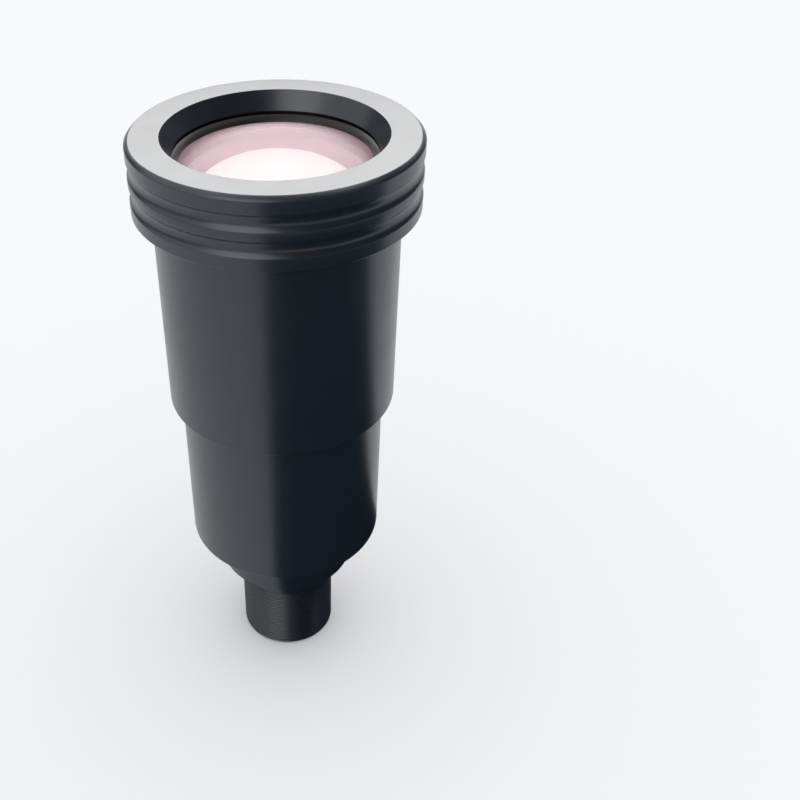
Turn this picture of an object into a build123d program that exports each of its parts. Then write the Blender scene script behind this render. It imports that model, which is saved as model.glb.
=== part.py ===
from build123d import *
import os
from math import copysign, floor, sqrt

# A long-barrel lens for an M12 x 0.5 camera mount. Sizes are in millimetres. The optical axis is Z,
# the end face of the threaded nose is at z = 0, and the front of the lens looks up along +Z.

# Outside, from the nose up to the front face
NOSE_DIA = 11.94            # major diameter of the M12 x 0.5 thread
NOSE_LENGTH = 13.0          # end face to mounting shoulder
NOSE_CHAMFER = 0.35
COLLAR_DIA = 16.7
COLLAR_LENGTH = 5.8
REAR_DIA = 23.4             # rear barrel
REAR_LENGTH = 20.3
FRONT_DIA = 26.0            # front barrel
FRONT_LENGTH = 23.5
CAP_DIA = 30.0              # grip head
CAP_LENGTH = 7.6
CAP_CHAMFER = 0.45          # broken edge of the front face
EDGE_BREAK = 0.12           # broken edge of every other outer step

# Grip grooves round the head
GRIP_COUNT = 2
GRIP_START = 1.75           # front face to the first groove
GRIP_PITCH = 2.65
GRIP_WIDTH = 1.75
GRIP_DEPTH = 0.35

# Fits, each on one side
LENS_FIT = 0.02             # glass in its bore
THREAD_FIT = 0.05           # threaded piece in its bore, drawn at the thread's major diameter
SEAT_GAP = 0.01             # ring or seat against glass
CEMENT = 0.01               # cement between the two glasses of a pair
END_GAP = 0.1               # free end of a screwed piece, short of the piece that it faces

# Screwed connections between the tubes
CAP_THREAD_DIA = 25.0
BARREL_THREAD_DIA = 21.0
BARREL_THREAD_LENGTH = 6.0
MOUNT_THREAD_DIA = 14.0
MOUNT_THREAD_LENGTH = 5.0

# Front lens, its ring and its spacer
FRONT_LENS_DIA = 22.0
FRONT_LENS_THICKNESS = 11.6
FRONT_LENS_CURVE = 36.0
FRONT_LENS_REAR_CURVE = 80.0
FRONT_LENS_REAR_LAND = 3.5  # flat land round the rear surface
FRONT_LENS_REAR_CLEAR = FRONT_LENS_DIA - 2 * FRONT_LENS_REAR_LAND
FRONT_RING_COVER = 1.15     # how far the ring reaches in over the glass
FRONT_RING_BORE = FRONT_LENS_DIA - 2 * FRONT_RING_COVER
FRONT_RING_FLARE = 0.55     # the ring's bore widens this much on each side up to its free face
FRONT_RING_RECESS = 0.35    # dark gap between the lip and the ring
FRONT_RING_CONE = 0.65      # height of the ring's cone, down to the glass
SPACER_HEIGHT = 1.5
SPACER_WALL = 3.5           # at its foot
SPACER_BORE = FRONT_LENS_DIA - 2 * SPACER_WALL

# Mouth of the head, which carries on from the ring's bore
MOUTH_FLARE = 1.1           # the mouth widens this much on each side up to the front face
MOUTH_THROAT = FRONT_RING_BORE + 2 * FRONT_RING_FLARE
MOUTH_DIA = MOUTH_THROAT + 2 * MOUTH_FLARE
LIP_THICKNESS = 2.0

# First cemented pair
DOUBLET_DIA = 17.5
DOUBLET_RING_BORE = 15.2
DOUBLET_RING_HEIGHT = 1.2
DOUBLET_FRONT_CURVE = 28.0
DOUBLET_CEMENT_CURVE = 24.0
DOUBLET_REAR_CURVE = 70.0
DOUBLET_REAR_CLEAR = 15.4
CROWN_THICKNESS = 5.0
FLINT_THICKNESS = 2.2
SEAT_WEB = 2.0              # web that carries a pair

# Aperture stop and the light trap above it
STOP_THICKNESS = 0.2
STOP_BORE = 11.0
TRAP_DIA = 17.0
TRAP_PITCH = 1.0
TRAP_DEPTH = 0.4

# Second cemented pair, in the rear barrel
RELAY_DEPTH = 4.2           # end of the rear barrel to the ring
RELAY_DIA = 14.0
RELAY_RING_BORE = 12.0
RELAY_RING_HEIGHT = 1.2
RELAY_FRONT_CURVE = 22.0
RELAY_CEMENT_CURVE = 18.0
RELAY_REAR_CURVE = 16.0
RELAY_REAR_CLEAR = 11.6
RELAY_CROWN_THICKNESS = 3.6
RELAY_FLINT_THICKNESS = 1.6

# Baffle tube and the glare stop under it
BAFFLE_WALL = 0.8
BAFFLE_FIN_BORE = 9.6
BAFFLE_FIN_PITCH = 2.0
BAFFLE_FIN_WIDTH = 0.5
GLARE_STOP_THICKNESS = 0.2
GLARE_STOP_BORE = 9.0

# Last group, in the nose
REAR_GLASS_DIA = 9.5
REAR_GLASS_CLEAR = 8.4
REAR_RING_RECESS = 1.2      # nose end to the ring
REAR_RING_HEIGHT = 1.3
FIELD_THICKNESS = 2.4
FIELD_REAR_CURVE = 16.0
FIELD_FRONT_CURVE = 40.0
REAR_SPACER_HEIGHT = 2.6
REAR_LENS_THICKNESS = 2.2
REAR_LENS_REAR_CURVE = 30.0
REAR_LENS_FRONT_CURVE = 20.0
TAPER_BORE = 11.2           # mouth of the mount tube's bore, at its inner end

# Shared small forms
GLASS_BEVEL = 0.15
RING_MOUTH_FLARE = 0.5      # a ring's bore is this much wider at its free face
SLOT_WIDTH = 0.9            # spanner slots of the inner rings
SLOT_DEPTH = 0.5

# Heights of the outer steps
COLLAR_Z = NOSE_LENGTH
REAR_Z = COLLAR_Z + COLLAR_LENGTH
FRONT_Z = REAR_Z + REAR_LENGTH
CAP_Z = FRONT_Z + FRONT_LENGTH
FACE_Z = CAP_Z + CAP_LENGTH
LIP_Z = FACE_Z - LIP_THICKNESS


def fall(curve, radius):
    """How far a spherical surface lies back from its pole at a radius. A hollow one has curve < 0."""
    return curve - copysign(sqrt(curve**2 - radius**2), curve)


def turned(*edges):
    """Turn a closed section, drawn as radius and height, about the optical axis."""
    return revolve(Plane.XZ * make_face([edge for part in edges for edge in part.edges()]), Axis.Z)


def glass(dia, front_z, front_curve, front_clear, rear_z, rear_curve, rear_clear):
    """One lens element between two poles. Outside a clear radius the face is a flat land."""
    edge = dia / 2
    face = edge - GLASS_BEVEL

    def side(pole, curve, clear, down):
        rim = pole - down * fall(curve, clear)
        middle = pole - down * fall(curve, clear / 2)
        return ThreePointArc((0, pole), (clear / 2, middle), (clear, rim)), rim

    front, front_rim = side(front_z, front_curve, front_clear, 1)
    rear, rear_rim = side(rear_z, rear_curve, rear_clear, -1)
    rim = [(front_clear, front_rim)]
    if front_clear < face:
        rim.append((face, front_rim))
    rim += [(edge, front_rim - GLASS_BEVEL), (edge, rear_rim + GLASS_BEVEL)]
    if rear_clear < face:
        rim.append((face, rear_rim))
    rim.append((rear_clear, rear_rim))
    return turned(front, Polyline(*rim), rear, Line((0, rear_z), (0, front_z)))


def ring_outline(outer, bore, flare, top, contact, slope):
    """Section of a clamping ring whose underside is a cone that touches the glass at its bore."""
    return Polyline(
        (bore, contact),
        (bore + flare, top),
        (outer, top),
        (outer, contact - slope * (outer - bore)),
        close=True,
    )


def tangent_slope(curve, radius):
    """Slope of a spherical surface at a radius."""
    return radius / sqrt(curve**2 - radius**2)


def spanner_slots(ring, top):
    """Cut the two slots that a spanner turns an inner ring by."""
    width = 2 * ring.bounding_box().max.X
    slot = Pos(0, 0, top) * Box(2 * width, SLOT_WIDTH, 2 * SLOT_DEPTH)
    return ring - slot


# Front group, from the lip down
cap_bore = CAP_THREAD_DIA / 2 + THREAD_FIT
group_bore = FRONT_LENS_DIA / 2 + LENS_FIT
front_ring_top = LIP_Z - FRONT_RING_RECESS
front_contact = front_ring_top - FRONT_RING_CONE
front_ring_bore = FRONT_RING_BORE / 2
front_pole = front_contact - SEAT_GAP + fall(FRONT_LENS_CURVE, front_ring_bore)
front_rear_pole = front_pole - FRONT_LENS_THICKNESS
front_rear_land = front_rear_pole + fall(FRONT_LENS_REAR_CURVE, FRONT_LENS_REAR_CLEAR / 2)
group_shoulder = front_rear_land - SPACER_HEIGHT

# First cemented pair, from the group shoulder down
doublet_bore = DOUBLET_DIA / 2 + LENS_FIT
doublet_ring_top = group_shoulder - END_GAP
doublet_contact = doublet_ring_top - DOUBLET_RING_HEIGHT
doublet_pole = doublet_contact - SEAT_GAP + fall(DOUBLET_FRONT_CURVE, DOUBLET_RING_BORE / 2)
cement_pole = doublet_pole - CROWN_THICKNESS
flint_rear_pole = cement_pole - CEMENT - FLINT_THICKNESS
doublet_seat = flint_rear_pole + fall(DOUBLET_REAR_CURVE, DOUBLET_REAR_CLEAR / 2)
trap_top = doublet_seat - SEAT_WEB

# Joint of the two barrels, with the stop between them
barrel_thread_bore = BARREL_THREAD_DIA / 2 + THREAD_FIT
rear_barrel_end = FRONT_Z + BARREL_THREAD_LENGTH
stop_shoulder = rear_barrel_end + STOP_THICKNESS

# Second cemented pair, from the rear barrel's end down
relay_bore = RELAY_DIA / 2 + LENS_FIT
relay_ring_top = rear_barrel_end - RELAY_DEPTH
relay_contact = relay_ring_top - RELAY_RING_HEIGHT
relay_pole = relay_contact - SEAT_GAP + fall(RELAY_FRONT_CURVE, RELAY_RING_BORE / 2)
relay_cement_pole = relay_pole - RELAY_CROWN_THICKNESS
relay_rear_pole = relay_cement_pole - CEMENT - RELAY_FLINT_THICKNESS
relay_seat = relay_rear_pole + fall(-RELAY_REAR_CURVE, RELAY_REAR_CLEAR / 2)
relay_web = relay_seat - SEAT_WEB

# Joint of the rear barrel and the mount tube, with the baffle tube above it
mount_thread_bore = MOUNT_THREAD_DIA / 2 + THREAD_FIT
mount_tube_end = REAR_Z + MOUNT_THREAD_LENGTH
baffle_base = mount_tube_end + GLARE_STOP_THICKNESS
baffle_end = relay_web - END_GAP

# Last group, from the nose's end up
rear_bore = REAR_GLASS_DIA / 2 + LENS_FIT
rear_clear = REAR_GLASS_CLEAR / 2
rear_ring_top = REAR_RING_RECESS + REAR_RING_HEIGHT
field_rear_pole = rear_ring_top + SEAT_GAP - fall(FIELD_REAR_CURVE, rear_clear)
field_front_pole = field_rear_pole + FIELD_THICKNESS
rear_spacer_bottom = field_front_pole - fall(FIELD_FRONT_CURVE, rear_clear)
rear_spacer_top = rear_spacer_bottom + REAR_SPACER_HEIGHT
rear_lens_rear_pole = rear_spacer_top - fall(-REAR_LENS_REAR_CURVE, rear_clear)
rear_lens_front_pole = rear_lens_rear_pole + REAR_LENS_THICKNESS
rear_seat = rear_lens_front_pole - fall(REAR_LENS_FRONT_CURVE, rear_clear)


def front_cap():
    """Grip head: a screwed cap with a conical mouth and rounded grooves to hold it by."""
    radius = CAP_DIA / 2
    edges = []
    low = (radius, CAP_Z + EDGE_BREAK)
    for index in reversed(range(GRIP_COUNT)):
        top = FACE_Z - GRIP_START - index * GRIP_PITCH
        start = (radius, top - GRIP_WIDTH)
        end = (radius, top)
        deep = (radius - GRIP_DEPTH, top - GRIP_WIDTH / 2)
        edges += [Line(low, start), ThreePointArc(start, deep, end)]
        low = end
    edges.append(
        Polyline(
            low,
            (radius, FACE_Z - CAP_CHAMFER),
            (radius - CAP_CHAMFER, FACE_Z),
            (MOUTH_DIA / 2, FACE_Z),
            (MOUTH_THROAT / 2, LIP_Z),
            (cap_bore, LIP_Z),
            (cap_bore, CAP_Z),
            (radius - EDGE_BREAK, CAP_Z),
            (radius, CAP_Z + EDGE_BREAK),
        )
    )
    return turned(*edges)


def front_barrel():
    """Wide tube with the seats of the front lens and the first pair, and a light trap below them."""
    radius = FRONT_DIA / 2
    trap = TRAP_DIA / 2
    outline = [
        (barrel_thread_bore, FRONT_Z),
        (radius - EDGE_BREAK, FRONT_Z),
        (radius, FRONT_Z + EDGE_BREAK),
        (radius, CAP_Z),
        (CAP_THREAD_DIA / 2, CAP_Z),
        (CAP_THREAD_DIA / 2, LIP_Z - END_GAP),
        (group_bore, LIP_Z - END_GAP),
        (group_bore, group_shoulder),
        (doublet_bore, group_shoulder),
        (doublet_bore, doublet_seat - SEAT_GAP),
        (DOUBLET_REAR_CLEAR / 2, doublet_seat - SEAT_GAP),
        (DOUBLET_REAR_CLEAR / 2, trap_top),
        (trap, trap_top),
    ]
    ridges = floor((trap_top - stop_shoulder) / TRAP_PITCH)
    first = trap_top - (trap_top - stop_shoulder - ridges * TRAP_PITCH) / 2
    for index in range(ridges):
        top = first - index * TRAP_PITCH
        outline += [(trap, top), (trap + TRAP_DEPTH, top - TRAP_PITCH / 2)]
    outline += [
        (trap, first - ridges * TRAP_PITCH),
        (trap, stop_shoulder),
        (barrel_thread_bore, stop_shoulder),
    ]
    return turned(Polyline(*outline, close=True))


def rear_barrel():
    """Narrow tube, screwed into the front barrel, with the seat of the second pair."""
    radius = REAR_DIA / 2
    return turned(
        Polyline(
            (mount_thread_bore, REAR_Z),
            (radius - EDGE_BREAK, REAR_Z),
            (radius, REAR_Z + EDGE_BREAK),
            (radius, FRONT_Z),
            (BARREL_THREAD_DIA / 2, FRONT_Z),
            (BARREL_THREAD_DIA / 2, rear_barrel_end),
            (relay_bore, rear_barrel_end),
            (relay_bore, relay_seat - SEAT_GAP),
            (RELAY_REAR_CLEAR / 2, relay_seat - SEAT_GAP),
            (RELAY_REAR_CLEAR / 2, relay_web),
            (mount_thread_bore, relay_web),
            close=True,
        )
    )


def mount_tube():
    """Collar and threaded nose in one piece, with the seat of the last group in the nose."""
    nose = NOSE_DIA / 2
    collar = COLLAR_DIA / 2
    return turned(
        Polyline(
            (rear_bore, 0),
            (nose - NOSE_CHAMFER, 0),
            (nose, NOSE_CHAMFER),
            (nose, COLLAR_Z),
            (collar - EDGE_BREAK, COLLAR_Z),
            (collar, COLLAR_Z + EDGE_BREAK),
            (collar, REAR_Z),
            (MOUNT_THREAD_DIA / 2, REAR_Z),
            (MOUNT_THREAD_DIA / 2, mount_tube_end),
            (TAPER_BORE / 2, mount_tube_end),
            (rear_clear, COLLAR_Z),
            (rear_clear, rear_seat + SEAT_GAP),
            (rear_bore, rear_seat + SEAT_GAP),
            close=True,
        )
    )


def front_retaining_ring():
    """Ring that clamps the front lens. It has no slots: its bore is a bare cone."""
    slope = tangent_slope(FRONT_LENS_CURVE, front_ring_bore)
    outer = FRONT_LENS_DIA / 2 - THREAD_FIT
    return turned(
        ring_outline(
            outer, front_ring_bore, FRONT_RING_FLARE, front_ring_top, front_contact, slope
        )
    )


def front_lens():
    """Front glass, held by its edge between the ring and the spacer."""
    return glass(
        FRONT_LENS_DIA,
        front_pole,
        FRONT_LENS_CURVE,
        FRONT_LENS_DIA / 2 - GLASS_BEVEL,
        front_rear_pole,
        FRONT_LENS_REAR_CURVE,
        FRONT_LENS_REAR_CLEAR / 2,
    )


def front_spacer():
    """Ring between the front lens and the barrel's shoulder, with a conical bore."""
    outer = FRONT_LENS_DIA / 2
    return turned(
        Polyline(
            (SPACER_BORE / 2, group_shoulder),
            (outer, group_shoulder),
            (outer, front_rear_land - SEAT_GAP),
            (FRONT_LENS_REAR_CLEAR / 2, front_rear_land - SEAT_GAP),
            close=True,
        )
    )


def doublet_ring():
    """Ring that clamps the first pair."""
    bore = DOUBLET_RING_BORE / 2
    slope = tangent_slope(DOUBLET_FRONT_CURVE, bore)
    outer = DOUBLET_DIA / 2 - THREAD_FIT
    ring = turned(
        ring_outline(outer, bore, RING_MOUTH_FLARE, doublet_ring_top, doublet_contact, slope)
    )
    return spanner_slots(ring, doublet_ring_top)


def doublet_crown():
    """Front glass of the first pair."""
    full = DOUBLET_DIA / 2 - GLASS_BEVEL
    return glass(
        DOUBLET_DIA,
        doublet_pole,
        DOUBLET_FRONT_CURVE,
        full,
        cement_pole,
        DOUBLET_CEMENT_CURVE,
        full,
    )


def doublet_flint():
    """Rear glass of the first pair."""
    return glass(
        DOUBLET_DIA,
        cement_pole - CEMENT,
        -DOUBLET_CEMENT_CURVE,
        DOUBLET_DIA / 2 - GLASS_BEVEL,
        flint_rear_pole,
        DOUBLET_REAR_CURVE,
        DOUBLET_REAR_CLEAR / 2,
    )


def stop_disc():
    """Thin aperture stop, clamped between the two barrels."""
    return turned(
        Polyline(
            (STOP_BORE / 2, rear_barrel_end),
            (BARREL_THREAD_DIA / 2, rear_barrel_end),
            (BARREL_THREAD_DIA / 2, stop_shoulder),
            (STOP_BORE / 2, stop_shoulder),
            close=True,
        )
    )


def relay_ring():
    """Ring that clamps the second pair."""
    bore = RELAY_RING_BORE / 2
    slope = tangent_slope(RELAY_FRONT_CURVE, bore)
    outer = RELAY_DIA / 2 - THREAD_FIT
    ring = turned(
        ring_outline(outer, bore, RING_MOUTH_FLARE, relay_ring_top, relay_contact, slope)
    )
    return spanner_slots(ring, relay_ring_top)


def relay_crown():
    """Front glass of the second pair."""
    full = RELAY_DIA / 2 - GLASS_BEVEL
    return glass(
        RELAY_DIA,
        relay_pole,
        RELAY_FRONT_CURVE,
        full,
        relay_cement_pole,
        RELAY_CEMENT_CURVE,
        full,
    )


def relay_flint():
    """Rear glass of the second pair, hollow at the rear."""
    return glass(
        RELAY_DIA,
        relay_cement_pole - CEMENT,
        -RELAY_CEMENT_CURVE,
        RELAY_DIA / 2 - GLASS_BEVEL,
        relay_rear_pole,
        -RELAY_REAR_CURVE,
        RELAY_REAR_CLEAR / 2,
    )


def baffle_tube():
    """Sleeve with inner fins, standing on the glare stop."""
    outer = MOUNT_THREAD_DIA / 2
    inner = outer - BAFFLE_WALL
    fin = BAFFLE_FIN_BORE / 2
    outline = [(inner, baffle_end), (outer, baffle_end), (outer, baffle_base), (fin, baffle_base)]
    level = baffle_base
    while level + BAFFLE_FIN_PITCH + BAFFLE_FIN_WIDTH < baffle_end:
        outline += [
            (fin, level + BAFFLE_FIN_WIDTH / 2),
            (inner, level + BAFFLE_FIN_WIDTH),
            (inner, level + BAFFLE_FIN_PITCH),
            (fin, level + BAFFLE_FIN_PITCH + BAFFLE_FIN_WIDTH / 4),
        ]
        level += BAFFLE_FIN_PITCH
    outline += [(fin, level + BAFFLE_FIN_WIDTH / 2), (inner, level + BAFFLE_FIN_WIDTH)]
    return turned(Polyline(*outline, close=True))


def glare_stop():
    """Thin disc between the baffle tube and the mount tube, with a hole for the used light only."""
    outer = MOUNT_THREAD_DIA / 2
    return turned(
        Polyline(
            (GLARE_STOP_BORE / 2, mount_tube_end),
            (outer, mount_tube_end),
            (outer, baffle_base),
            (GLARE_STOP_BORE / 2, baffle_base),
            close=True,
        )
    )


def rear_lens():
    """Upper glass of the last group, against the seat in the mount tube."""
    return glass(
        REAR_GLASS_DIA,
        rear_lens_front_pole,
        REAR_LENS_FRONT_CURVE,
        rear_clear,
        rear_lens_rear_pole,
        -REAR_LENS_REAR_CURVE,
        rear_clear,
    )


def rear_spacer():
    """Spacer between the two glasses of the last group."""
    outer = REAR_GLASS_DIA / 2
    return turned(
        Polyline(
            (rear_clear, rear_spacer_bottom + SEAT_GAP),
            (outer, rear_spacer_bottom + SEAT_GAP),
            (outer, rear_spacer_top - SEAT_GAP),
            (rear_clear, rear_spacer_top - SEAT_GAP),
            close=True,
        )
    )


def field_lens():
    """Last glass, seen from the nose's end."""
    return glass(
        REAR_GLASS_DIA,
        field_front_pole,
        FIELD_FRONT_CURVE,
        rear_clear,
        field_rear_pole,
        FIELD_REAR_CURVE,
        rear_clear,
    )


def rear_ring():
    """Ring that clamps the last group from the nose's end."""
    outer = REAR_GLASS_DIA / 2 - THREAD_FIT
    ring = turned(
        Polyline(
            (rear_clear, rear_ring_top),
            (outer, rear_ring_top),
            (outer, REAR_RING_RECESS),
            (rear_clear, REAR_RING_RECESS),
            close=True,
        )
    )
    return spanner_slots(ring, REAR_RING_RECESS)


PIECES = [
    front_cap,
    front_barrel,
    rear_barrel,
    mount_tube,
    front_retaining_ring,
    front_lens,
    front_spacer,
    doublet_ring,
    doublet_crown,
    doublet_flint,
    stop_disc,
    relay_ring,
    relay_crown,
    relay_flint,
    baffle_tube,
    glare_stop,
    rear_lens,
    rear_spacer,
    field_lens,
    rear_ring,
]

os.makedirs("parts", exist_ok=True)
for piece in PIECES:
    export_step(piece(), f"parts/{piece.__name__}.step")
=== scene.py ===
import logging
from dataclasses import dataclass
from enum import Enum
from math import asin, atan2, cos, pi, radians, sin, sqrt

import bpy
from mathutils import Matrix, Vector


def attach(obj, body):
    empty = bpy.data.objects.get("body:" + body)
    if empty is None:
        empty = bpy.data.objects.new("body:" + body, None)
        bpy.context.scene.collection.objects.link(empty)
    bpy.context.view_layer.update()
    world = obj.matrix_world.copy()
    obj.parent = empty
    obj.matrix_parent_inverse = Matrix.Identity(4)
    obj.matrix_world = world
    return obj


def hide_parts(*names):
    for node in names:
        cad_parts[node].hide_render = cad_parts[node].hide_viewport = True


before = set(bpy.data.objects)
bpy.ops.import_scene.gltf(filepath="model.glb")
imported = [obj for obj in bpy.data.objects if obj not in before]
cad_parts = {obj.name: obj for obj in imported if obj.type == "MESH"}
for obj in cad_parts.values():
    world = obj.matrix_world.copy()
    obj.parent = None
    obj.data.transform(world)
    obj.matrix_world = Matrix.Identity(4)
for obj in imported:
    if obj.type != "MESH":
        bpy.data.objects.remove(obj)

# Dressed model of a long-barrel M12 x 0.5 camera lens. All drawn sizes are in millimetres in the
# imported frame: the optical axis is Z and the end face of the threaded nose is at z = 0.

MM = 0.001
EDGE_ROUNDING = 0.05
log = logging.getLogger("lens")
Point = tuple[float, float]


class Slot(Enum):
    """Material slots of the record."""

    BARREL = "anodised_barrel"
    RING = "blackened_ring"
    FRONT_GLASS = "coated_front_glass"
    GLASS = "optical_glass"
    FOIL = "blackened_foil"


def linear(hex_colour: str) -> tuple[float, float, float, float]:
    """Turn an sRGB colour into the linear one that shaders take.

    Args:
        hex_colour: Six hex digits, with or without a leading hash sign.

    Returns:
        Linear red, green, blue and an alpha of 1.
    """
    digits = hex_colour.lstrip("#")
    parts = []
    for start in (0, 2, 4):
        value = int(digits[start:start + 2], 16) / 255
        parts.append(value / 12.92 if value <= 0.04045 else ((value + 0.055) / 1.055) ** 2.4)
    return (parts[0], parts[1], parts[2], 1.0)


def add_node(
    tree: bpy.types.NodeTree,
    kind: str,
    values: dict[str, object] | None = None,
    links: dict[str, bpy.types.NodeSocket] | None = None,
    **settings: object,
) -> bpy.types.Node:
    """Add one shader node with its settings, socket values and links.

    Args:
        tree: Node tree that takes the node.
        kind: Node type, such as "ShaderNodeBump".
        values: Constant value of each named input.
        links: Socket that feeds each named input.
        **settings: Properties of the node itself.

    Returns:
        The new node.
    """
    node = tree.nodes.new(kind)
    for name, value in settings.items():
        setattr(node, name, value)
    for name, value in (values or {}).items():
        node.inputs[name].default_value = value
    for name, socket in (links or {}).items():
        tree.links.new(socket, node.inputs[name])
    return node


def blank_material(name: str) -> tuple[bpy.types.Material, bpy.types.NodeTree, bpy.types.Node]:
    """Start an empty node material.

    Args:
        name: Name of the finish.

    Returns:
        The material, its node tree and its output node.
    """
    material = bpy.data.materials.new(name)
    material.use_nodes = True
    tree = material.node_tree
    tree.nodes.clear()
    return material, tree, tree.nodes.new("ShaderNodeOutputMaterial")


@dataclass(frozen=True)
class TurnedBlack:
    """Black anodised, fine turned aluminium.

    The clear oxide over the dye gives a gloss that is dim face on and bright at a low angle. The
    turning lines spread it a little across the cut.
    """

    name: str
    colour: str
    roughness: float
    index: float = 1.6
    line_pitch: float = 0.12
    line_depth: float = 0.0012
    line_strength: float = 0.35
    cloud_size: float = 4.0
    stain: float = 0.05

    def build(self) -> bpy.types.Material:
        """Make the material.

        Returns:
            The material.
        """
        material, tree, output = blank_material(self.name)
        place = add_node(tree, "ShaderNodeTexCoord")
        split = add_node(tree, "ShaderNodeSeparateXYZ", links={"Vector": place.outputs["Object"]})
        out = add_node(
            tree, "ShaderNodeVectorMath", {1: (1.0, 1.0, 0.0)}, {0: place.outputs["Object"]},
            operation="MULTIPLY",
        )
        radius = add_node(
            tree, "ShaderNodeVectorMath", links={0: out.outputs["Vector"]}, operation="LENGTH"
        )
        along = add_node(
            tree, "ShaderNodeMath", links={0: radius.outputs["Value"], 1: split.outputs["Z"]},
            operation="ADD",
        )
        # Turning lines: one coordinate that grows along walls and across faces alike.
        lines = add_node(
            tree, "ShaderNodeTexNoise",
            {"Scale": 1 / (self.line_pitch * MM), "Detail": 2.0}, {"W": along.outputs["Value"]},
            noise_dimensions="1D",
        )
        bump = add_node(
            tree, "ShaderNodeBump",
            {"Strength": self.line_strength, "Distance": self.line_depth * MM},
            {"Height": lines.outputs[0]},
        )
        # Soft cloudiness of the dyed oxide, a few millimetres wide, which keeps the gloss alive.
        cloud = add_node(
            tree, "ShaderNodeTexNoise", {"Scale": 1 / (self.cloud_size * MM), "Detail": 3.0},
            {"Vector": place.outputs["Object"]},
        )
        rough = add_node(
            tree, "ShaderNodeMapRange",
            {"To Min": self.roughness - self.stain, "To Max": self.roughness + self.stain},
            {"Value": cloud.outputs[0]},
        )
        shader = add_node(
            tree, "ShaderNodeBsdfPrincipled",
            {"Base Color": linear(self.colour), "Metallic": 0.0, "IOR": self.index},
            {"Roughness": rough.outputs["Result"], "Normal": bump.outputs["Normal"]},
        )
        tree.links.new(shader.outputs["BSDF"], output.inputs["Surface"])
        return material


@dataclass(frozen=True)
class CoatedGlass:
    """Polished optical glass with an anti-reflection coating.

    The body is clear, and the coating lets only a faint sharp mirror image stand on it. A soft
    tinted gloss stands for the light that comes back off the many surfaces behind it: it shows as
    an even veil at a low angle and is almost gone face on. The inner side takes part only where a
    surface throws the light back into the glass.
    """

    name: str
    tint: str
    coating_index: float
    mirror_index: float = 1.1
    coating_roughness: float = 0.45
    throws_back: bool = False
    index: float = 1.62
    body: str = "#fbfbf8"

    def build(self) -> bpy.types.Material:
        """Make the material.

        Returns:
            The material.
        """
        material, tree, output = blank_material(self.name)
        if self.throws_back:
            clear = add_node(
                tree, "ShaderNodeBsdfPrincipled",
                {
                    "Base Color": linear(self.body), "Roughness": 0.0, "IOR": self.index,
                    "Transmission Weight": 1.0,
                },
            )
        else:
            # The coating takes the sharp mirror image down to about a hundredth.
            through = add_node(
                tree, "ShaderNodeBsdfRefraction",
                {"Color": linear(self.body), "Roughness": 0.0, "IOR": self.index},
            )
            image = add_node(
                tree, "ShaderNodeBsdfGlossy", {"Color": linear(self.tint), "Roughness": 0.0}
            )
            faint = add_node(tree, "ShaderNodeFresnel", {"IOR": self.mirror_index})
            clear = add_node(
                tree, "ShaderNodeMixShader",
                links={0: faint.outputs[0], 1: through.outputs[0], 2: image.outputs[0]},
            )
        coating = add_node(
            tree, "ShaderNodeBsdfPrincipled",
            {
                "Base Color": linear(self.tint), "Metallic": 1.0,
                "Roughness": self.coating_roughness,
            },
        )
        share = add_node(tree, "ShaderNodeFresnel", {"IOR": self.coating_index})
        if not self.throws_back:
            # The coating lies on the outer side alone, so the way out through it stays clear.
            side = add_node(tree, "ShaderNodeNewGeometry")
            outside = add_node(
                tree, "ShaderNodeMath", {0: 1.0}, {1: side.outputs["Backfacing"]},
                operation="SUBTRACT",
            )
            share = add_node(
                tree, "ShaderNodeMath", links={0: share.outputs[0], 1: outside.outputs[0]},
                operation="MULTIPLY",
            )
        mix = add_node(
            tree, "ShaderNodeMixShader",
            links={0: share.outputs[0], 1: clear.outputs[0], 2: coating.outputs[0]},
        )
        tree.links.new(mix.outputs[0], output.inputs["Surface"])
        return material


@dataclass(frozen=True)
class GroundGlass:
    """Ground edge of a lens: pale, with no mirror image left, and cloudy where the grit cut."""

    name: str
    colour: str
    roughness: float = 0.85
    unevenness: float = 0.1
    sheen: float = 0.5
    grain: float = 1.5

    def build(self) -> bpy.types.Material:
        """Make the material.

        Returns:
            The material.
        """
        material, tree, output = blank_material(self.name)
        place = add_node(tree, "ShaderNodeTexCoord")
        # Cloudy patches a millimetre or two wide, from uneven grinding.
        cloud = add_node(
            tree, "ShaderNodeTexNoise", {"Scale": 1 / (self.grain * MM), "Detail": 2.0},
            {"Vector": place.outputs["Object"]},
        )
        rough = add_node(
            tree, "ShaderNodeMapRange",
            {
                "To Min": self.roughness - self.unevenness,
                "To Max": self.roughness + self.unevenness,
            },
            {"Value": cloud.outputs[0]},
        )
        shader = add_node(
            tree, "ShaderNodeBsdfPrincipled",
            {"Base Color": linear(self.colour), "Metallic": self.sheen},
            {"Roughness": rough.outputs["Result"]},
        )
        tree.links.new(shader.outputs["BSDF"], output.inputs["Surface"])
        return material


@dataclass(frozen=True)
class MattePaper:
    """Seamless studio paper: plain diffuse, so that only soft shade shows on it."""

    name: str = "seamless paper"
    colour: str = "#fcfcfd"

    def build(self) -> bpy.types.Material:
        """Make the material.

        Returns:
            The material.
        """
        material, tree, output = blank_material(self.name)
        shader = add_node(tree, "ShaderNodeBsdfDiffuse", {"Color": linear(self.colour)})
        tree.links.new(shader.outputs["BSDF"], output.inputs["Surface"])
        return material


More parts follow.
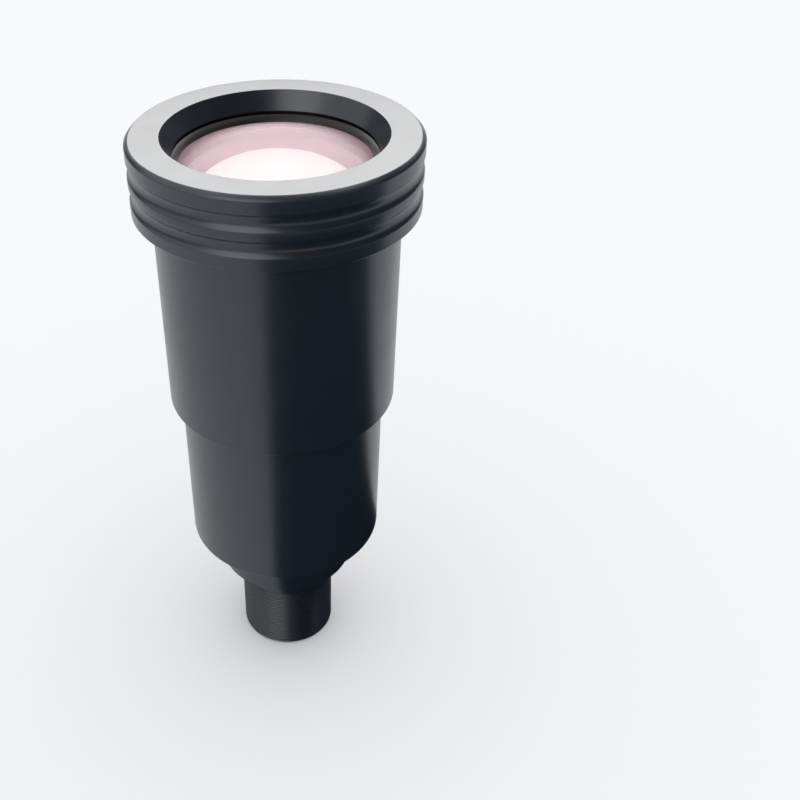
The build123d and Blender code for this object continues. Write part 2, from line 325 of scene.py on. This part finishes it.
@dataclass(frozen=True)
class Glow:
    """Lit cloth of a softbox, or with no strength a black studio flag."""

    name: str
    strength: float
    fade_from: float = 0.0
    fade_to: float = 0.0
    colour: str = "#ffffff"

    def build(self) -> bpy.types.Material:
        """Make the material.

        Returns:
            The material.
        """
        material, tree, output = blank_material(self.name)
        shader = add_node(
            tree, "ShaderNodeEmission", {"Color": linear(self.colour), "Strength": self.strength}
        )
        if self.fade_to > self.fade_from:
            # The cloth is dimmer toward its lower edge, which is farthest from the lamp in it.
            place = add_node(tree, "ShaderNodeTexCoord")
            split = add_node(
                tree, "ShaderNodeSeparateXYZ", links={"Vector": place.outputs["Generated"]}
            )
            fade = add_node(
                tree, "ShaderNodeMapRange",
                {"From Min": self.fade_from, "From Max": self.fade_to, "To Max": self.strength},
                {"Value": split.outputs["Y"]}, interpolation_type="SMOOTHSTEP",
            )
            tree.links.new(fade.outputs["Result"], shader.inputs["Strength"])
        tree.links.new(shader.outputs["Emission"], output.inputs["Surface"])
        return material


def arc(start: Point, end: Point, sagitta: float, steps: int) -> list[Point]:
    """Sample a circular arc by its chord and its height over it.

    Args:
        start: First point as radius and height.
        end: Last point.
        sagitta: Height of the arc's middle to the left of the way from start to end.
        steps: Number of chords.

    Returns:
        The points after start, up to and with end.
    """
    (x0, z0), (x1, z1) = start, end
    chord = sqrt((x1 - x0) ** 2 + (z1 - z0) ** 2)
    radius = (chord**2 / 4 + sagitta**2) / (2 * abs(sagitta))
    side = 1.0 if sagitta > 0 else -1.0
    nx, nz = -(z1 - z0) / chord * side, (x1 - x0) / chord * side
    cx = (x0 + x1) / 2 + nx * (abs(sagitta) - radius)
    cz = (z0 + z1) / 2 + nz * (abs(sagitta) - radius)
    first, last = atan2(z0 - cz, x0 - cx), atan2(z1 - cz, x1 - cx)
    turn = (last - first + pi) % (2 * pi) - pi
    points = []
    for index in range(1, steps + 1):
        angle = first + turn * index / steps
        points.append((cx + radius * cos(angle), cz + radius * sin(angle)))
    return points


def surface(pole: float, curve: float, clear: float, down: int, steps: int) -> list[Point]:
    """Sample one spherical glass surface from its pole outward.

    Args:
        pole: Height of the surface on the axis.
        curve: Radius of curvature, below zero where the surface is hollow.
        clear: Radius out to which the surface runs.
        down: 1 for the upper side of the glass, -1 for its underside.
        steps: Number of chords.

    Returns:
        Points from the axis to the clear radius.
    """
    turn = asin(clear / abs(curve))
    side = 1.0 if curve > 0 else -1.0
    points = []
    for index in range(steps + 1):
        angle = turn * index / steps
        back = abs(curve) * (1 - cos(angle)) * side * down
        points.append((abs(curve) * sin(angle), pole - back))
    return points


class Lathe:
    """Turns drawn sections into meshes about the optical axis."""

    MERGE_DISTANCE = 0.0005
    BEVEL_SEGMENTS = 2
    BEVEL_FROM = radians(30)
    SMOOTH_UP_TO = radians(35)
    FACE_WEIGHT = 100

    def __init__(self, steps: int = 192) -> None:
        """Set the lathe up.

        Args:
            steps: Number of steps round a full turn.
        """
        self.steps = steps

    def turn(self, name: str, section: list[Point], round_edges: float = 0.0) -> bpy.types.Object:
        """Draw a closed section by extruding one vertex along it, and spin it.

        Args:
            name: Name of the new piece.
            section: Corners as radius and height in millimetres, without the closing one.
            round_edges: Width of the small bevel on every sharp edge.

        Returns:
            The new piece, at the origin, unturned and unscaled.
        """
        bpy.ops.object.select_all(action="DESELECT")
        bpy.ops.mesh.primitive_plane_add(size=MM, location=(0.0, 0.0, 0.0))
        piece = bpy.context.active_object
        piece.name = name
        piece.data.name = name
        bpy.ops.object.mode_set(mode="EDIT")
        bpy.ops.mesh.select_all(action="SELECT")
        bpy.ops.mesh.merge(type="CENTER")
        here = (0.0, 0.0)
        for index, point in enumerate([*section, section[0]]):
            step = ((point[0] - here[0]) * MM, 0.0, (point[1] - here[1]) * MM)
            if index == 0:
                bpy.ops.transform.translate(value=step)
            else:
                bpy.ops.mesh.extrude_region_move(TRANSFORM_OT_translate={"value": step})
            here = point
        bpy.ops.mesh.select_all(action="SELECT")
        bpy.ops.mesh.spin(
            steps=self.steps, angle=2 * pi, center=(0.0, 0.0, 0.0), axis=(0.0, 0.0, 1.0)
        )
        bpy.ops.mesh.select_all(action="SELECT")
        bpy.ops.mesh.remove_doubles(threshold=self.MERGE_DISTANCE * MM)
        bpy.ops.mesh.normals_make_consistent(inside=False)
        bpy.ops.object.mode_set(mode="OBJECT")
        if round_edges:
            bpy.ops.object.modifier_add(type="BEVEL")
            bevel = piece.modifiers[-1]
            bevel.width = round_edges * MM
            bevel.segments = self.BEVEL_SEGMENTS
            bevel.limit_method = "ANGLE"
            bevel.angle_limit = self.BEVEL_FROM
            bpy.ops.object.modifier_apply(modifier=bevel.name)
        bpy.ops.object.shade_smooth_by_angle(angle=self.SMOOTH_UP_TO)
        if round_edges:
            # Wide faces keep their own direction right up to the small rounded edges.
            bpy.ops.object.modifier_add(type="WEIGHTED_NORMAL")
            weighted = piece.modifiers[-1]
            weighted.keep_sharp = True
            weighted.weight = self.FACE_WEIGHT
            bpy.ops.object.modifier_apply(modifier=weighted.name)
        return piece


class Finishes:
    """The materials of the lens, one for each slot of the record."""

    def __init__(self) -> None:
        """Build every finish once."""
        self.by_slot = {
            Slot.BARREL: TurnedBlack("black anodised aluminium", "#121c27", 0.30).build(),
            Slot.RING: TurnedBlack("dull black anodised ring", "#1c1615", 0.42, 1.35).build(),
            Slot.FRONT_GLASS: CoatedGlass("pink coated front glass", "#ffe3ec", 1.32).build(),
            Slot.GLASS: CoatedGlass("coated inner glass", "#fffdf8", 1.6).build(),
            Slot.FOIL: TurnedBlack("blackened foil", "#0c0c0c", 0.6).build(),
        }
        # Seen through the front glass: a pale ground band round a bright satin disc.
        self.ground_edge = GroundGlass("ground edge of the front glass", "#ccb6ba").build()
        self.rear_surface = CoatedGlass(
            "rear surface of the front glass", "#ffffff", 2.1, coating_roughness=0.5,
            throws_back=True,
        ).build()

    def dress(self, piece: bpy.types.Object, slot: Slot, *nodes: str) -> bpy.types.Object:
        """Give a new piece its finish, its slot and the nodes that it stands for.

        Args:
            piece: The new piece.
            slot: The record's slot.
            *nodes: CAD nodes that the piece replaces.

        Returns:
            The same piece.
        """
        piece.data.materials.clear()
        piece.data.materials.append(self.by_slot[slot])
        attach(piece, "root")
        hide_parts(*nodes)
        log.info("%s: %d vertices, stands for %s", piece.name, len(piece.data.vertices), nodes)
        return piece

    def dress_nodes(self, names: dict[str, Slot]) -> None:
        """Give CAD nodes that stay their finish.

        Args:
            names: Slot of each node.
        """
        for name, slot in names.items():
            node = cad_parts[name]
            for place in node.material_slots:
                place.link = "OBJECT"
                place.material = self.by_slot[slot]
            log.info("%s: kept from the frame", name)


@dataclass
class GripHead:
    """Screwed cap with two rounded grooves, a bevelled face and a conical mouth."""

    radius: float = 15.0
    foot: float = 62.6
    face: float = 70.2
    chamfer: float = 0.45
    edge: float = 0.12
    groove_start: float = 1.75
    groove_pitch: float = 2.65
    groove_width: float = 1.75
    groove_depth: float = 0.35
    groove_steps: int = 12
    grooves: int = 2
    mouth: float = 11.5
    throat: float = 10.4
    lip: float = 68.2
    bore: float = 12.55

    def build(self, lathe: Lathe, finishes: Finishes) -> None:
        """Make the cap.

        Args:
            lathe: Turns the section.
            finishes: Gives the finish.
        """
        section = [(self.radius - self.edge, self.foot), (self.radius, self.foot + self.edge)]
        for index in reversed(range(self.grooves)):
            top = self.face - self.groove_start - index * self.groove_pitch
            low = (self.radius, top - self.groove_width)
            section += [low, *arc(low, (self.radius, top), self.groove_depth, self.groove_steps)]
        section += [
            (self.radius, self.face - self.chamfer),
            (self.radius - self.chamfer, self.face),
            (self.mouth, self.face),
            (self.throat, self.lip),
            (self.bore, self.lip),
            (self.bore, self.foot),
        ]
        piece = lathe.turn("grip_head", section, EDGE_ROUNDING)
        finishes.dress(piece, Slot.BARREL, "front_cap")


@dataclass
class FrontBarrel:
    """Widest tube, with the seats of the front lens and the first pair."""

    radius: float = 13.0
    foot: float = 39.1
    head: float = 62.6
    top: float = 68.1
    edge: float = 0.12
    cap_thread: float = 12.5
    group_bore: float = 11.02
    shoulder: float = 55.816
    doublet_bore: float = 8.77
    doublet_seat: float = 48.762
    clear: float = 7.7
    trap_top: float = 46.772
    trap: float = 8.5
    trap_depth: float = 0.3
    trap_ridges: int = 2
    stop: float = 45.3
    thread_bore: float = 10.55

    def build(self, lathe: Lathe, finishes: Finishes) -> None:
        """Make the tube.

        Args:
            lathe: Turns the section.
            finishes: Gives the finish.
        """
        section = [
            (self.thread_bore, self.foot),
            (self.radius - self.edge, self.foot),
            (self.radius, self.foot + self.edge),
            (self.radius, self.head),
            (self.cap_thread, self.head),
            (self.cap_thread, self.top),
            (self.group_bore, self.top),
            (self.group_bore, self.shoulder),
            (self.doublet_bore, self.shoulder),
            (self.doublet_bore, self.doublet_seat),
            (self.clear, self.doublet_seat),
            (self.clear, self.trap_top),
            (self.trap, self.trap_top),
        ]
        pitch = (self.trap_top - self.stop) / self.trap_ridges
        for index in range(self.trap_ridges):
            level = self.trap_top - index * pitch
            ridge = (self.trap + self.trap_depth, level - pitch / 2)
            section += [ridge, (self.trap, level - pitch)]
        section += [(self.thread_bore, self.stop)]
        piece = lathe.turn("front_tube", section, EDGE_ROUNDING)
        finishes.dress(piece, Slot.BARREL, "front_barrel")


@dataclass
class RearBarrel:
    """Narrower tube, screwed into the front one."""

    radius: float = 11.7
    foot: float = 18.8
    shoulder: float = 39.1
    top: float = 45.1
    edge: float = 0.12
    thread: float = 10.5
    mount_bore: float = 7.05
    relay_bore: float = 7.02
    relay_clear: float = 5.8
    relay_seat: float = 34.22
    web: float = 32.23

    def build(self, lathe: Lathe, finishes: Finishes) -> None:
        """Make the tube.

        Args:
            lathe: Turns the section.
            finishes: Gives the finish.
        """
        section = [
            (self.mount_bore, self.foot),
            (self.radius - self.edge, self.foot),
            (self.radius, self.foot + self.edge),
            (self.radius, self.shoulder),
            (self.thread, self.shoulder),
            (self.thread, self.top),
            (self.relay_bore, self.top),
            (self.relay_bore, self.relay_seat),
            (self.relay_clear, self.relay_seat),
            (self.relay_clear, self.web),
            (self.mount_bore, self.web),
        ]
        piece = lathe.turn("rear_tube", section, EDGE_ROUNDING)
        finishes.dress(piece, Slot.BARREL, "rear_barrel")


@dataclass
class MountTube:
    """Collar and nose in one piece, with a helical M12 x 0.5 thread and a plain land over it."""

    nose: float = 5.97
    chamfer: float = 0.35
    land_foot: float = 10.1
    shoulder: float = 13.0
    collar: float = 8.35
    collar_top: float = 18.8
    edge: float = 0.12
    inner_thread: float = 7.0
    top: float = 23.8
    taper: float = 5.6
    clear: float = 4.2
    bore: float = 4.77
    seat: float = 9.4
    pitch: float = 0.5
    rows_a_pitch: int = 8
    crest: float = 5.94
    root: float = 5.66
    land_step: float = 0.03
    flank_steepness: float = 2.2
    crest_flat: float = 0.6
    lead_in: float = 0.25
    lead_out: float = 0.5
    tolerance: float = 0.01

    def build(self, lathe: Lathe, finishes: Finishes) -> None:
        """Make the tube and cut its thread.

        Args:
            lathe: Turns the section.
            finishes: Gives the finish.
        """
        rows = round((self.land_foot - self.chamfer) / self.pitch * self.rows_a_pitch)
        rise = (self.land_foot - self.chamfer) / rows
        section = [(self.bore, 0.0), (self.nose - self.chamfer, 0.0)]
        section += [(self.crest, self.chamfer + index * rise) for index in range(rows + 1)]
        section += [
            (self.nose, self.land_foot + self.land_step),
            (self.nose, self.shoulder),
            (self.collar - self.edge, self.shoulder),
            (self.collar, self.shoulder + self.edge),
            (self.collar, self.collar_top),
            (self.inner_thread, self.collar_top),
            (self.inner_thread, self.top),
            (self.taper, self.top),
            (self.clear, self.shoulder),
            (self.clear, self.seat),
            (self.bore, self.seat),
        ]
        piece = lathe.turn("mount_tube_threaded", section)
        self.cut_thread(piece)
        finishes.dress(piece, Slot.BARREL, "mount_tube")

    def cut_thread(self, piece: bpy.types.Object) -> None:
        """Press the rows of the nose into a right-handed helix.

        Args:
            piece: The turned tube.
        """
        depth = self.crest - self.root
        last = self.land_foot - 2 * self.tolerance
        for vertex in piece.data.vertices:
            x, y, z = (value / MM for value in vertex.co)
            radius = sqrt(x * x + y * y)
            if abs(radius - self.crest) > self.tolerance or not self.chamfer < z < last:
                continue
            phase = (z / self.pitch - atan2(y, x) / (2 * pi)) % 1.0
            flank = self.flank_steepness * (1 - abs(2 * phase - 1)) - self.crest_flat
            cut = min(max(flank, 0.0), 1.0) * depth
            start, end = (z - self.chamfer) / self.lead_in, (self.land_foot - z) / self.lead_out
            scale = (radius - cut * max(min(start, end, 1.0), 0.0)) / radius
            vertex.co.x *= scale
            vertex.co.y *= scale


@dataclass
class FrontRing:
    """Thin ring that clamps the front glass, with a conical bore and no slots."""

    bore: float = 9.85
    flare: float = 0.55
    outer: float = 10.95
    top: float = 67.85
    contact: float = 67.2
    slope: float = 0.2845
    edge_rounding: float = 0.03

    def build(self, lathe: Lathe, finishes: Finishes) -> None:
        """Make the ring.

        Args:
            lathe: Turns the section.
            finishes: Gives the finish.
        """
        section = [
            (self.bore, self.contact),
            (self.bore + self.flare, self.top),
            (self.outer, self.top),
            (self.outer, self.contact - self.slope * (self.outer - self.bore)),
        ]
        piece = lathe.turn("clamping_ring", section, self.edge_rounding)
        finishes.dress(piece, Slot.RING, "front_retaining_ring")


@dataclass
class FrontGlass:
    """Thick coated front lens, domed on both sides, with a flat land round its rear surface."""

    edge: float = 11.0
    bevel: float = 0.15
    front_pole: float = 68.564
    front_curve: float = 36.0
    rear_pole: float = 56.964
    rear_curve: float = 80.0
    rear_clear: float = 7.5
    steps: int = 40

    def build(self, lathe: Lathe, finishes: Finishes) -> None:
        """Make the lens.

        Args:
            lathe: Turns the section.
            finishes: Gives the finish.
        """
        face = self.edge - self.bevel
        front = surface(self.front_pole, self.front_curve, face, 1, self.steps)
        rear = surface(self.rear_pole, self.rear_curve, self.rear_clear, -1, self.steps)
        rim = [
            (self.edge, front[-1][1] - self.bevel),
            (self.edge, rear[-1][1] + self.bevel),
            (face, rear[-1][1]),
        ]
        piece = lathe.turn("front_glass", [*front, *rim, *reversed(rear)])
        finishes.dress(piece, Slot.FRONT_GLASS, "front_lens")
        self.finish_surfaces(piece, finishes, front[-1][1])

    def finish_surfaces(
        self, piece: bpy.types.Object, finishes: Finishes, front_rim: float
    ) -> None:
        """Part the ground edge and land, and the polished rear surface, from the coated front.

        Args:
            piece: The turned lens.
            finishes: Holds the finishes of the edge and the rear surface.
            front_rim: Height at which the polished front surface ends.
        """
        piece.data.materials.append(finishes.ground_edge)
        piece.data.materials.append(finishes.rear_surface)
        for face in piece.data.polygons:
            x, y, z = (value / MM for value in face.center)
            if z < front_rim:
                face.material_index = 1 if sqrt(x * x + y * y) > self.rear_clear else 2


@dataclass
class CementedPair:
    """First pair. The cement between its two glasses doesn't show, so it is one clear body."""

    edge: float = 8.75
    bevel: float = 0.15
    front_pole: float = 55.557
    front_curve: float = 28.0
    rear_pole: float = 48.347
    rear_curve: float = 70.0
    rear_clear: float = 7.7
    steps: int = 32

    def build(self, lathe: Lathe, finishes: Finishes) -> None:
        """Make the pair.

        Args:
            lathe: Turns the section.
            finishes: Gives the finish.
        """
        face = self.edge - self.bevel
        front = surface(self.front_pole, self.front_curve, face, 1, self.steps)
        rear = surface(self.rear_pole, self.rear_curve, self.rear_clear, -1, self.steps)
        rim = [
            (self.edge, front[-1][1] - self.bevel),
            (self.edge, rear[-1][1] + self.bevel),
            (face, rear[-1][1]),
        ]
        piece = lathe.turn("first_pair", [*front, *rim, *reversed(rear)])
        finishes.dress(piece, Slot.GLASS, "doublet_crown", "doublet_flint")


@dataclass
class Panel:
    """One flat piece of studio kit that faces the lens."""

    name: str
    azimuth: float
    distance: float
    height: float
    width: float
    tall: float
    glow: Glow
    gloss_only: bool = False
    through_glass: bool = False
    aim_height: float = 45.0

    def build(self) -> None:
        """Set the panel up, turned towards the lens."""
        angle = radians(self.azimuth)
        spot = Vector((sin(angle), cos(angle), 0.0)) * self.distance * MM
        spot.z = self.height * MM
        bpy.ops.object.select_all(action="DESELECT")
        bpy.ops.mesh.primitive_plane_add(size=1.0, location=(0.0, 0.0, 0.0))
        panel = bpy.context.active_object
        panel.name = self.name
        panel.data.materials.append(self.glow.build())
        aim = Vector((0.0, 0.0, self.aim_height * MM)) - spot
        turn = aim.to_track_quat("Z", "Y").to_matrix().to_4x4()
        size = Matrix.Diagonal((self.width * MM, self.tall * MM, 1.0, 1.0))
        panel.matrix_world = Matrix.Translation(spot) @ turn @ size
        panel.visible_camera = False
        panel.visible_transmission = self.through_glass
        panel.visible_diffuse = not self.gloss_only
        panel.visible_shadow = False
        log.info("%s set up", self.name)


@dataclass
class Studio:
    """Pale paper, soft light and the camera of the photograph."""

    floor_size: float = 4000.0
    room_diffuse: float = 0.99
    room_gloss: float = 0.03
    flag_azimuth: float = -13.0
    flag_back: float = 22.0
    flag_reach: float = 260.0
    flag_height: float = 0.3
    focal: float = 46.01
    distance: float = 97.01
    height: float = 109.67
    yaw: float = 1.22
    pitch: float = 36.92
    roll: float = -0.88
    shift: float = 0.125

    def build(self) -> None:
        """Set up the floor, the lights, the room and the camera."""
        bpy.ops.object.select_all(action="DESELECT")
        bpy.ops.mesh.primitive_plane_add(size=self.floor_size * MM, location=(0.0, 0.0, 0.0))
        floor = bpy.context.active_object
        floor.name = "paper"
        floor.data.materials.append(MattePaper().build())
        for panel in (
            Panel(
                "rear_softbox", 0, 420, 330, 900, 620,
                Glow("rear softbox cloth", 7.6, fade_from=0.16, fade_to=0.5),
                gloss_only=True, through_glass=True,
            ),
            Panel(
                "top_softbox", 0, 130, 460, 700, 480, Glow("top softbox cloth", 3.0),
                gloss_only=True, through_glass=True,
            ),
            Panel(
                "front_softbox", -150, 300, 240, 250, 330, Glow("front softbox cloth", 2.4),
                gloss_only=True,
            ),
            Panel(
                "left_softbox", -95, 350, 300, 500, 400, Glow("left softbox cloth", 1.0),
                through_glass=True,
            ),
        ):
            panel.build()
        self.build_flag()
        self.build_room()
        self.build_camera()

    def build_flag(self) -> None:
        """Lay a black flag flat on the paper, right and in front, which only the gloss picks up."""
        left, back, reach = radians(self.flag_azimuth), self.flag_back, self.flag_reach
        forward = Vector((sin(left), -cos(left), 0.0))
        across = Vector((cos(left), sin(left), 0.0))
        middle = across * reach / 2 + forward * (reach - back) / 2
        bpy.ops.object.select_all(action="DESELECT")
        bpy.ops.mesh.primitive_plane_add(size=1.0, location=(0.0, 0.0, 0.0))
        flag = bpy.context.active_object
        flag.name = "black_flag"
        flag.data.materials.append(Glow("black flag", 0.0).build())
        size = Matrix.Diagonal((reach * MM, (reach + back) * MM, 1.0, 1.0))
        place = Matrix.Translation((middle.x * MM, middle.y * MM, self.flag_height * MM))
        flag.matrix_world = place @ Matrix.Rotation(left, 4, "Z") @ size
        flag.visible_camera = False
        flag.visible_diffuse = False
        flag.visible_shadow = False
        flag.visible_transmission = False
        log.info("black flag laid")

    def build_room(self) -> None:
        """Light the paper evenly from all sides, with a dim room in the gloss of the lens."""
        world = bpy.data.worlds.new("studio room")
        bpy.context.scene.world = world
        world.use_nodes = True
        tree = world.node_tree
        tree.nodes.clear()
        path = add_node(tree, "ShaderNodeLightPath")
        level = add_node(
            tree, "ShaderNodeMapRange",
            {"To Min": self.room_diffuse, "To Max": self.room_gloss},
            {"Value": path.outputs["Is Glossy Ray"]},
        )
        room = add_node(
            tree, "ShaderNodeBackground", {"Color": linear("#fcfdff")},
            {"Strength": level.outputs["Result"]},
        )
        output = tree.nodes.new("ShaderNodeOutputWorld")
        tree.links.new(room.outputs["Background"], output.inputs["Surface"])

    def build_camera(self) -> None:
        """Place the camera as fitted to the photograph."""
        bpy.ops.object.camera_add()
        camera = bpy.context.active_object
        camera.name = "photo_camera"
        camera.data.sensor_width = 36.0
        camera.data.lens = self.focal
        camera.data.shift_x = self.shift
        camera.data.clip_start = 0.001
        yaw, pitch, roll = radians(self.yaw), radians(self.pitch), radians(self.roll)
        forward = Vector((sin(yaw) * cos(pitch), cos(yaw) * cos(pitch), -sin(pitch)))
        right = Vector((cos(yaw), -sin(yaw), 0.0))
        up = right.cross(forward)
        side = right * cos(roll) + up * sin(roll)
        top = up * cos(roll) - right * sin(roll)
        turn = Matrix((side, top, -forward)).transposed().to_4x4()
        place = Matrix.Translation((0.0, -self.distance * MM, self.height * MM))
        camera.matrix_world = place @ turn
        bpy.context.scene.camera = camera
        bpy.context.scene.view_settings.view_transform = "Standard"


def main() -> None:
    """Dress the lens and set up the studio."""
    logging.basicConfig(level=logging.INFO, format="%(message)s")
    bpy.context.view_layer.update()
    finishes = Finishes()
    lathe = Lathe()
    for part in (
        GripHead(), FrontBarrel(), RearBarrel(), MountTube(), FrontRing(), FrontGlass(),
        CementedPair(),
    ):
        part.build(lathe, finishes)
    finishes.dress_nodes({
        "front_spacer": Slot.RING,
        "doublet_ring": Slot.RING,
        "stop_disc": Slot.FOIL,
        "relay_ring": Slot.RING,
        "relay_crown": Slot.GLASS,
        "relay_flint": Slot.GLASS,
        "baffle_tube": Slot.RING,
        "glare_stop": Slot.FOIL,
        "rear_lens": Slot.GLASS,
        "rear_spacer": Slot.RING,
        "field_lens": Slot.GLASS,
        "rear_ring": Slot.RING,
    })
    Studio().build()


if __name__ == "__main__":
    main()
